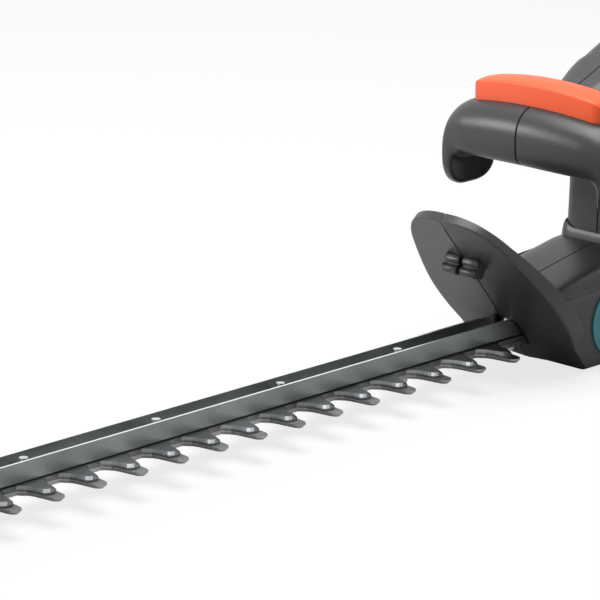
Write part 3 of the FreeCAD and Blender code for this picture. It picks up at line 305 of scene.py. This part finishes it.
def open_outline(corners, steps=10, fill=12):
    """Like rounded(), but an open line from its first corner to its last, with points along its runs."""
    rows = np.array(corners, float)
    at, cut = rows[:, :2], rows[:, 2]
    pieces = [at[:1]]
    for i in range(1, len(at) - 1):
        start = pieces[-1][-1]
        back = (at[i - 1] - at[i]) / np.linalg.norm(at[i - 1] - at[i])
        on = (at[i + 1] - at[i]) / np.linalg.norm(at[i + 1] - at[i])
        a, b = at[i] + cut[i] * back, at[i] + cut[i] * on
        s = np.linspace(0, 1, steps)[:, None]
        r = np.linspace(0, 1, fill, endpoint=False)[1:, None]
        pieces.append(start + (a - start) * r)
        pieces.append((1 - s) ** 2 * a + 2 * s * (1 - s) * at[i] + s ** 2 * b)
    start = pieces[-1][-1]
    pieces.append(start + (at[-1] - start) * np.linspace(0, 1, fill)[1:, None])
    return np.vstack(pieces)


# y_out and s_out follow the guard's edge, across and up its slope. y_in and s_in are the line down its
# middle that each edge point pairs with, moved aside past the slot. rho runs from the middle over the
# front face to the edge, round the rim and back along the rear face.
edge = open_outline([(0.1, 0, 0), (40, 0, 3), (53.4, 45, 22), (46.4, 80, 12), (37.9, 106.5, 9), (27, 121, 8),
                     (13, 126.8, 7), (0.1, 127.4, 0)])
y_out, s_out = edge.T
END_INSET = 8
s_in = END_INSET + (s_out / GUARD_LONG) * (GUARD_LONG - 2 * END_INSET)
z_in = FOOT_Z + s_in * np.cos(LEAN)
SLOT_LOW, SLOT_HIGH, SLOT_HALF = 12, 32, 10.2
y_in = np.where((z_in > SLOT_LOW) & (z_in < SLOT_HIGH), SLOT_HALF, 0.1)
front_rho = np.linspace(0, 0.94, 14)
rim_rho = [0.965, 0.985, 0.996, 1, 1, 1, 0.985, 0.965, 0.955, 0.95]
rho = np.concatenate([front_rho, rim_rho, np.linspace(0.9, 0, 8)])
keel = 2.7 * np.clip(y_out / 47, 0, 1)
rim_at = [0, 20, 38, 54, 70, 89, 104, GUARD_LONG]
rim = 1.4 * keel + np.interp(s_out, rim_at, [11.2, 11, 10.4, 9, 8.2, 6.4, 4.8, 4.6])
rim += 1.8 * np.clip(1 - y_out / 28, 0, 1) * (s_out > 100)
lead = np.concatenate([front_rho, [0.97, 1.05, 1.25, 1.6]])
n_front = len(lead)
depth = np.zeros((len(edge), len(rho)))
depth[:, :n_front] = keel[:, None] * lead[None]
depth[:, n_front - 1] += 0.4
depth[:, n_front:n_front + 4] = rim[:, None] - (0.6, 0, 0, 0.6)
depth[:, n_front + 4:] = 4 + keel[:, None] * rho[None, n_front + 4:]
depth[:, 0] += 0.9
guard_y = y_in[:, None] + (y_out - y_in)[:, None] * rho[None]
guard_y[:, 1] = y_in + 0.7
guard_s = s_in[:, None] + (s_out - s_in)[:, None] * rho[None]
place = np.array([FOOT_X, 0, FOOT_Z]) + guard_s[..., None] * UP - depth[..., None] * FACING
place[..., 1] = guard_y
ends = place[[0, -1]]
end_hub = ends.mean(1, keepdims=True)
tucked = end_hub + 0.9 * (ends - end_hub)
beside = ends + (0, 0.35, 0)
guard_half = np.concatenate([tucked[:1], beside[:1], place[1:-1], beside[1:], tucked[1:]])
for hand, sign in HANDS:
    shield = skin("guard_" + hand, guard_half * (1, sign, 1), anthracite, "base")

# ---- blade cover clip --------------------------------------------------------------------------
# Two short hooks on the guard's face hold the blade cover's strap. They are part of the two halves,
# so a wide seam parts them, and each has two rolled ridges across it.

ridges = rounded([(88, 74.5, 1), (97.8, 75.2, 1.8), (99.6, 72, 1.2), (98.4, 69.6, 0.8), (101.8, 68, 1.5),
                  (101.6, 64, 1.8), (93, 62, 1)])
hook_y = np.array([1.5, 2.1, 7, 12.2, 13.5])
hook_tuck = np.array([0.6, 0, 0, 0, 1.2])
ridge_hub = ridges.mean(0)
from_hub = np.linalg.norm(ridges - ridge_hub, axis=1, keepdims=True)
loop = ridge_hub + (ridges - ridge_hub)[None] * (1 - hook_tuck[:, None, None] / from_hub[None])
hook = np.dstack([loop[..., 0], np.broadcast_to(hook_y[:, None], loop.shape[:2]), loop[..., 1]])
for hand, sign in HANDS:
    skin("cover_hook_" + hand, hook * (1, sign, 1), anthracite, "base")

# ---- gear casing -------------------------------------------------------------------------------
# The lower casing holds the gears and the motor's foot. Its rounded barrel runs back from the guard
# between two raised cheeks, in two nylon halves that meet in a seam along the top.


def closed_ring(half_rings):
    """Whole rings from rings that run from the top of the middle plane down the +Y side to its foot:
    each is followed by its mirror image, without the two points that lie in the plane."""
    return np.concatenate([half_rings, (half_rings * (1, -1, 1))[:, -2:0:-1]], 1)


REAR, TOP_FRONT, FRONT_FOOT, FRONT_RISE = -102.0, 68.8, 33.3, 35.5 / 44
CASING_HALF = 45
top_x = REAR + (TOP_FRONT - REAR) * np.concatenate([[0], np.linspace(0.008, 1, 70)])
top_z = np.interp(top_x, [REAR, -45, -25, TOP_FRONT], [62.4, 62.2, 60.6, 44])
part = (top_x - REAR) / (TOP_FRONT - REAR)
# The barrel and cheek give (y, height over their own top line); the foot gives (y, z).
barrel = np.array([(0, -1.3), (0.5, 0), (12, 0), (22, -0.1), (27, -0.5), (30.6, -1.7), (32.6, -4)])
cheek = np.array([(34.2, -2.6), (35.6, -4), (37.2, -4.6), (39, -4), (40.8, -2.4), (42, -0.6), (42.9, 0),
                  (43.8, -0.3), (44.6, -1.2), (CASING_HALF, -2.6)])
foot = np.array([(44.9, 4.2), (44.2, 2.2), (42.6, 0.8), (40, 0), (30, 0), (15, 0), (0.5, 0), (0, 1.3)])
cheek_z = np.minimum(49.6 - 0.058 * top_x, top_z - 0.5)
across_y = np.concatenate([barrel[:, 0], cheek[:, 0], np.full(12, CASING_HALF), foot[:, 0]])
tops = np.hstack([top_z[:, None] + barrel[None, :, 1], cheek_z[:, None] + cheek[None, :, 1]])
walls = tops[:, -1:] + (6 - tops[:, -1:]) * np.linspace(0.08, 1, 12)[None]
casing_z = np.hstack([tops, walls, np.broadcast_to(foot[:, 1], (len(top_x), len(foot)))])
casing_y = np.broadcast_to(across_y, casing_z.shape)
casing_x = REAR + part[:, None] * (FRONT_FOOT + casing_z * FRONT_RISE - REAR)
CASING_MID_Z = 31
pull = np.where(np.arange(len(top_x)) == 0, 0.955, 1)[:, None]
casing_half = np.dstack([casing_x, casing_y * pull, CASING_MID_Z + (casing_z - CASING_MID_Z) * pull])
casing = skin("gear_casing", closed_ring(casing_half), anthracite, "base")
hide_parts("lower_housing_left", "lower_housing_right")

# ---- cooling vents -----------------------------------------------------------------------------
# Each side of the casing has a row of upright vent openings that let the fan's air out. Each is drawn
# as a dark dished patch with a raised lip and a hollow middle in the casing's wall: painted shade for
# the opening's dark inside.

black = moulded("black_polycarbonate", (0.018, 0.018, 0.019), 0.42, 0.3, 0.1)
LOUVRE_Z = 32
vent_shade = rounded([(-1.7, -13, 1.6), (1.7, -13, 1.6), (1.7, 13, 1.6), (-1.7, 13, 1.6)])
lip_size = np.array([1, 1, 0.86, 0.7, 0.62])
lip_y = np.array([44.3, 45.3, 45.5, 45.2, 44.6])
# Each patch is painted shade standing in for the open inside of one vent.
for number, louvre_x in enumerate(np.linspace(-86, -62, 5)):
    outline_x = louvre_x + vent_shade[None, :, 0] * lip_size[:, None]
    outline_z = LOUVRE_Z + vent_shade[None, :, 1] * (1 - (1 - lip_size[:, None]) * 0.16)
    vent_shade_rings = np.dstack([outline_x, np.broadcast_to(lip_y[:, None], outline_x.shape), outline_z])
    for hand, sign in HANDS:
        skin(f"louvre_{hand}_{number}", vent_shade_rings * (1, sign, 1), black, "base")

# ---- motor column and rear grip ----------------------------------------------------------------
# The upper casing stands on the lower one: a column round the upright motor, and behind it a closed
# grip round the hand's window. Two nylon halves meet in a seam all the way round.

BENDS = 9
TO_WINDOW = 10


def matched(corners):
    """A closed outline with a parabola at each corner and evenly spaced points on each run between,
    so that two outlines with as many corners pair up point by point."""
    arcs = rounded(corners, BENDS).reshape(len(corners), BENDS, 2)
    ends, starts = arcs[:, -1:], np.roll(arcs, -1, 0)[:, :1]
    f = np.linspace(0, 1, TO_WINDOW + 2)[None, 1:-1, None]
    return np.concatenate([arcs, ends + (starts - ends) * f], 1).reshape(-1, 2)


FLOOR_Z = 58.5
outside = matched([(-25, 62, 1), (-27, 120, 20), (-29, 171, 5), (-70, 190.8, 16), (-130, 189, 30),
                   (-266, 158, 22), (-300, 78, 16), (-300, FLOOR_Z, 2), (-180, FLOOR_Z, 1),
                   (-102, FLOOR_Z, 1)])
window = matched([(-102, 84, 13), (-102, 100, 2), (-102, 136, 2), (-102, 150, 13), (-150, 144.5, 6),
                  (-218, 130, 13), (-238, 96, 3), (-244, 84, 11), (-190, 84, 3), (-125, 84, 3)])
inward = window - outside
apart = np.linalg.norm(inward, axis=1, keepdims=True)
inward = inward / apart
# The half width grows from the grip to the column along a smooth step, and narrows again to its top.
GRIP_HALF, COLUMN_HALF = 18.5, 30.0
front_part = np.clip((outside[:, :1] + 130) / 60, 0, 1)
taper = 1 - 0.3 * np.clip((outside[:, 1:] - 122) / 48, 0, 1)
half_wide = GRIP_HALF + (COLUMN_HALF - GRIP_HALF) * front_part * front_part * (3 - 2 * front_part) * taper
edge_round = 11.0 + 1 * front_part
bow = np.linspace(0, np.pi / 2, 9)
off_edge = edge_round * (1 - np.cos(bow))[None]
off_seam = (half_wide - edge_round) + edge_round * np.sin(bow)[None]
none = np.zeros((len(apart), 1))
to_middle = edge_round + (apart / 2 - edge_round) * np.array([[0.5, 1]])
from_out = np.hstack([none + 1.3, none, off_edge, to_middle])
side_y = np.hstack([none, none + 0.5, off_seam, half_wide + np.array([[0.35, 0.5]])])
side_y = np.minimum(side_y, COLUMN_HALF)
upper = outside[:, None] + inward[:, None] * from_out[..., None]
lower = window[:, None] - inward[:, None] * from_out[..., None]
over_under = np.concatenate([upper, lower[:, ::-1][:, 1:]], 1)
sheet_y = np.concatenate([side_y, side_y[:, ::-1][:, 1:]], 1)
grip_half = np.dstack([over_under[..., 0], sheet_y, over_under[..., 1]])
column = skin("motor_column", closed_ring(grip_half), anthracite, "base", round_trip=True)
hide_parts("upper_housing_left", "upper_housing_right")

# ---- handle arm --------------------------------------------------------------------------------
# A short arm of the upper casing's two halves reaches forward from the column and carries the front
# handle. It widens and deepens towards the column, and the seam runs on along its top.

ARM_ROUND, ARM_ROUND_LOW = 10, 7
arm_x = np.array([11.0, 10.6, 8, 4, 0, -6, -12, -18, -22, -26, -30, -34, -38])
arm_top = np.interp(arm_x, [-38, -8, 11], [176.6, 163.9, 157.4])[:, None]
arm_low = np.interp(arm_x, [-38, -31, -24, -16, 11], [110, 115, 120.5, 122.6, 124])[:, None]
arm_wide = np.interp(arm_x, [-38, -30, -22, -6, 11], [22, 24, 23, 18.6, 18])[:, None]
quarter = np.linspace(0, np.pi / 2, 8)[None]
over_y = arm_wide - ARM_ROUND + ARM_ROUND * np.sin(quarter)
over_z = arm_top - ARM_ROUND_LOW * (1 - np.cos(quarter))
under_y = arm_wide - ARM_ROUND_LOW * (1 - np.cos(quarter))
under_z = arm_low + ARM_ROUND_LOW * (1 - np.sin(quarter))
zero = np.zeros((len(arm_x), 1))
arm_y = np.hstack([zero, zero + 0.5, over_y, under_y, zero + 0.5, zero])
arm_z = np.hstack([arm_top - 1.3, arm_top, over_z, under_z, arm_low, arm_low + 1])
arm_half = np.dstack([np.broadcast_to(arm_x[:, None], arm_y.shape), arm_y, arm_z])
skin("handle_arm", closed_ring(arm_half), anthracite, "base")

# ---- column collar -----------------------------------------------------------------------------
# Where the column stands in the gear casing, a raised collar of the lower halves grips its foot. The
# collar's lip follows the casing's rounded back, so it stands higher at the sides than in the middle.

collar_plan = rounded([(-24.2, 30.8, 12), (-24.2, -30.8, 12), (-101, -30.8, 10), (-101, 30.8, 10)], 16)
LIP_MID = 64.6
lip_rise = np.array([-13, -7, -3.4, -0.9, -0.1, -1.2])
lip_in = np.array([-1.5, -1.2, -0.7, -0.1, 0.4, 1.1])
collar_hub = (collar_plan.min(0) + collar_plan.max(0)) / 2
collar_half = (collar_plan.max(0) - collar_plan.min(0)) / 2
lip_plan = collar_hub + (collar_plan - collar_hub)[None] * (1 - lip_in[:, None, None] / collar_half)
lip_top = LIP_MID + 4.2 * np.clip(np.abs(collar_plan[:, 1]) / 26, 0, 1.1) ** 2
lip_z = lip_top[None] + lip_rise[:, None]
collar = skin("column_collar", np.dstack([lip_plan, lip_z]), anthracite, "base")

# ---- battery shoe ------------------------------------------------------------------------------
# The foot of the rear grip spreads into a flat shoe with rounded corners. It is part of the nylon
# halves, and the battery's rail slides along a channel in its underside.


def upright(name, loop, levels, material, body):
    """A moulding that stands on a plan: the plan's outline at each (height, inset) level, drawn in
    towards its middle by the inset."""
    hub = (loop.min(0) + loop.max(0)) / 2
    reach = (loop.max(0) - loop.min(0)) / 2
    rows = np.array(levels, float)
    scale = 1 - rows[:, 1, None] / reach[None]
    plan = hub + (loop - hub)[None] * scale[:, None]
    rise = np.broadcast_to(rows[:, :1], plan.shape[:2])
    return skin(name, np.dstack([plan, rise]), material, body)


shoe_plan = rounded([(-210, 38, 9), (-210, -38, 9), (-335, -38, 9), (-335, 38, 9)], 10)
shoe_levels = [(58, 0.3), (58.4, 0), (68, 0), (71, 1), (73.2, 3), (74, 6)]
upright("battery_shoe", shoe_plan, shoe_levels, anthracite, "base")

# ---- battery -----------------------------------------------------------------------------------
# The slide-out battery is a black polycarbonate box with rounded corners and a stepped waist, which
# hangs under the rear grip on a T-shaped rail and also makes the rear foot.

pack_plan = rounded([(-218, 36, 10), (-218, -36, 10), (-333, -36, 10), (-333, 36, 10)], 10)
pack_levels = [(0, 6), (0.6, 3.4), (2.4, 1.4), (5.5, 0.2), (8, 0), (33, 0), (34.2, 0.2), (35, 1.4),
               (36.4, 1.4), (37.2, 0.2), (38.4, 0), (52, 0), (54.6, 0.8), (56, 2.4)]
pack = upright("battery_shell", pack_plan, pack_levels, black, "battery")
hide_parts("battery_case")

# ---- blades and rail ---------------------------------------------------------------------------
# Two toothed blades of ground, hardened steel slide in opposite ways under a folded channel rail. The
# grinding runs along them. The upper blade's steel is painted darker as painted shade, and the rail's
# upward faces carry a painted highlight.


def worked_metal(name, colour, rough, draw, wear):
    """Worked metal: fine marks drawn out along one way, and stains that change its shade and gloss."""
    made, tree, shader, _ = nodes_of(name)
    link = tree.links.new
    where = tree.nodes.new("ShaderNodeTexCoord")
    drawn = tree.nodes.new("ShaderNodeMapping")
    drawn.inputs["Scale"].default_value = draw
    marks = tree.nodes.new("ShaderNodeTexNoise")
    marks.inputs["Scale"].default_value = 240
    marks.inputs["Detail"].default_value = 4
    stains = tree.nodes.new("ShaderNodeTexNoise")
    stains.inputs["Scale"].default_value = 30
    stains.inputs["Detail"].default_value = 6
    link(where.outputs["Object"], drawn.inputs["Vector"])
    link(drawn.outputs[0], marks.inputs["Vector"])
    link(where.outputs["Object"], stains.inputs["Vector"])
    shade = tree.nodes.new("ShaderNodeValToRGB")
    shade.color_ramp.elements[0].position = 0.3
    shade.color_ramp.elements[0].color = (*[c * (1 - wear) for c in colour], 1)
    shade.color_ramp.elements[1].position = 0.7
    shade.color_ramp.elements[1].color = (*[min(1, c * (1 + wear)) for c in colour], 1)
    link(stains.outputs["Fac"], shade.inputs["Fac"])
    link(shade.outputs["Color"], shader.inputs["Base Color"])
    gloss = tree.nodes.new("ShaderNodeMapRange")
    gloss.inputs["To Min"].default_value = rough - 0.08
    gloss.inputs["To Max"].default_value = rough + 0.1
    link(marks.outputs["Fac"], gloss.inputs["Value"])
    link(gloss.outputs[0], shader.inputs["Roughness"])
    scored = tree.nodes.new("ShaderNodeBump")
    scored.inputs["Strength"].default_value = 0.15
    scored.inputs["Distance"].default_value = 0.0001
    link(marks.outputs["Fac"], scored.inputs["Height"])
    link(scored.outputs["Normal"], shader.inputs["Normal"])
    shader.inputs["Metallic"].default_value = 1
    return made


def paint_top_highlight(material, highlight_colour):
    """Paints a highlight on faces that look straight up: the highlight colour mixes over the
    worked one as the upward part of the normal goes from 0.85 to 0.98."""
    tree = material.node_tree
    shader = tree.nodes["Principled BSDF"]
    shape = tree.nodes.new("ShaderNodeNewGeometry")
    parts = tree.nodes.new("ShaderNodeSeparateXYZ")
    steep = tree.nodes.new("ShaderNodeMapRange")
    steep.inputs["From Min"].default_value = 0.85
    steep.inputs["From Max"].default_value = 0.98
    over = tree.nodes.new("ShaderNodeMix")
    over.data_type = "RGBA"
    over.inputs["B"].default_value = (*highlight_colour, 1)
    worked = shader.inputs["Base Color"].links[0].from_socket
    tree.links.new(shape.outputs["Normal"], parts.inputs[0])
    tree.links.new(parts.outputs["Z"], steep.inputs["Value"])
    tree.links.new(steep.outputs[0], over.inputs["Factor"])
    tree.links.new(worked, over.inputs["A"])
    tree.links.new(over.outputs["Result"], shader.inputs["Base Color"])


def finish(material, *names):
    """Gives the frame's own bodies of these names a material in place of their plain one."""
    for name in names:
        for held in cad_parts[name].material_slots:
            held.material = material


LENGTHWISE = (0.06, 1, 1)
EVEN = (1, 1, 1)
ground_steel = worked_metal("ground_blade_steel", (0.30, 0.31, 0.31), 0.34, LENGTHWISE, 0.25)
# The upper blade is the same steel as the lower, painted darker as painted shade for the dark reflection in
# its flat tops.
shaded_blade_steel = worked_metal("shaded_copy_blade_steel", (0.16, 0.165, 0.17), 0.38, LENGTHWISE, 0.3)
rail_steel = worked_metal("folded_rail_steel", (0.24, 0.26, 0.25), 0.36, LENGTHWISE, 0.15)
# A painted highlight in near-white on the rail's upward faces.
paint_top_highlight(rail_steel, (0.8, 0.82, 0.81))
finish(ground_steel, "lower_blade")
finish(shaded_blade_steel, "upper_blade")
finish(rail_steel, "guide_rail")

# ---- rail bolts and nuts -----------------------------------------------------------------------
# The bolts that hold the blades up to the rail are zinc plated. Each passes through a sleeve in the
# blades' slots and a washer under them, and its nut shows in the channel.

bright_zinc = worked_metal("bright_zinc", (0.62, 0.63, 0.64), 0.28, EVEN, 0.12)
finish(bright_zinc, "blade_bolts", "bolt_sleeves", "bolt_washers", "rail_nuts")

# ---- tip guard and side discs ------------------------------------------------------------------
# A blunt black moulding on the rail's end keeps the blades off walls and ground. On each side of the
# gear casing sits a round teal polypropylene disc, pressed into a shallow recess.

finish(black, "tip_guard")
teal = moulded("teal_polypropylene", (0.012, 0.2, 0.235), 0.34, 0.2, 0.05)
finish(teal, "side_disc_left", "side_disc_right")

# ---- gear train --------------------------------------------------------------------------------
# A sintered pinion turns a sintered gear, whose shaft carries two opposed eccentrics that move the
# blades. Bearings, shaft and posts sit between a die-cast aluminium plate and cover.

sintered = worked_metal("sintered_gear_steel", (0.32, 0.31, 0.3), 0.45, EVEN, 0.2)
cast_alloy = worked_metal("cast_aluminium", (0.5, 0.5, 0.5), 0.5, EVEN, 0.12)
spring_wire = worked_metal("spring_wire", (0.45, 0.45, 0.46), 0.3, EVEN, 0.1)
finish(sintered, "drive_gear", "motor_pinion", "lower_eccentric", "upper_eccentric", "lower_bearing",
       "upper_bearing")
finish(bright_zinc, "crank_shaft", "gearbox_posts", "gearbox_screws")
finish(spring_wire, "shaft_clip")
finish(cast_alloy, "gearbox_cover", "gearbox_plate")

# ---- motor -------------------------------------------------------------------------------------
# The brushed motor stands upright in the column: a drawn steel can with ferrite magnets in it, a
# stacked armature, carbon brushes in a moulded end cap, and a moulded fan.

lamination = worked_metal("motor_iron", (0.38, 0.38, 0.39), 0.4, (1, 1, 0.05), 0.15)
ferrite = moulded("ferrite", (0.03, 0.03, 0.032), 0.6, 0.5, 0.2)
finish(lamination, "motor_can", "motor_armature")
finish(ferrite, "motor_magnets", "motor_brushes")
finish(black, "motor_end_cap", "motor_fan")

# ---- trigger, switches and board ---------------------------------------------------------------
# The black trigger turns on a plated pin and presses one switch; the bar presses the other. A green
# laminate board and a moulded terminal block join them to the battery.

laminate = moulded("green_laminate", (0.02, 0.12, 0.05), 0.4, 0.2, 0.15)
finish(black, "trigger", "front_switch", "rear_switch", "terminal_block")
finish(bright_zinc, "trigger_pin")
finish(spring_wire, "trigger_spring", "front_bar_springs")
finish(laminate, "control_board")

# ---- battery button and cells ------------------------------------------------------------------
# An orange button in the pack's rear face frees its latch. Inside, a moulded holder keeps the steel
# cells in two rows.

cell_skin = worked_metal("cell_steel", (0.55, 0.56, 0.58), 0.3, EVEN, 0.08)
finish(orange, "battery_button")
finish(black, "battery_cell_holder")
finish(cell_skin, "battery_cells")

# ---- casing screws -----------------------------------------------------------------------------
# Plated self-tapping screws draw each pair of nylon halves together, from the right-hand side into
# bosses on the left.

finish(bright_zinc, "front_handle_screws", "lower_housing_screws", "upper_housing_screws")
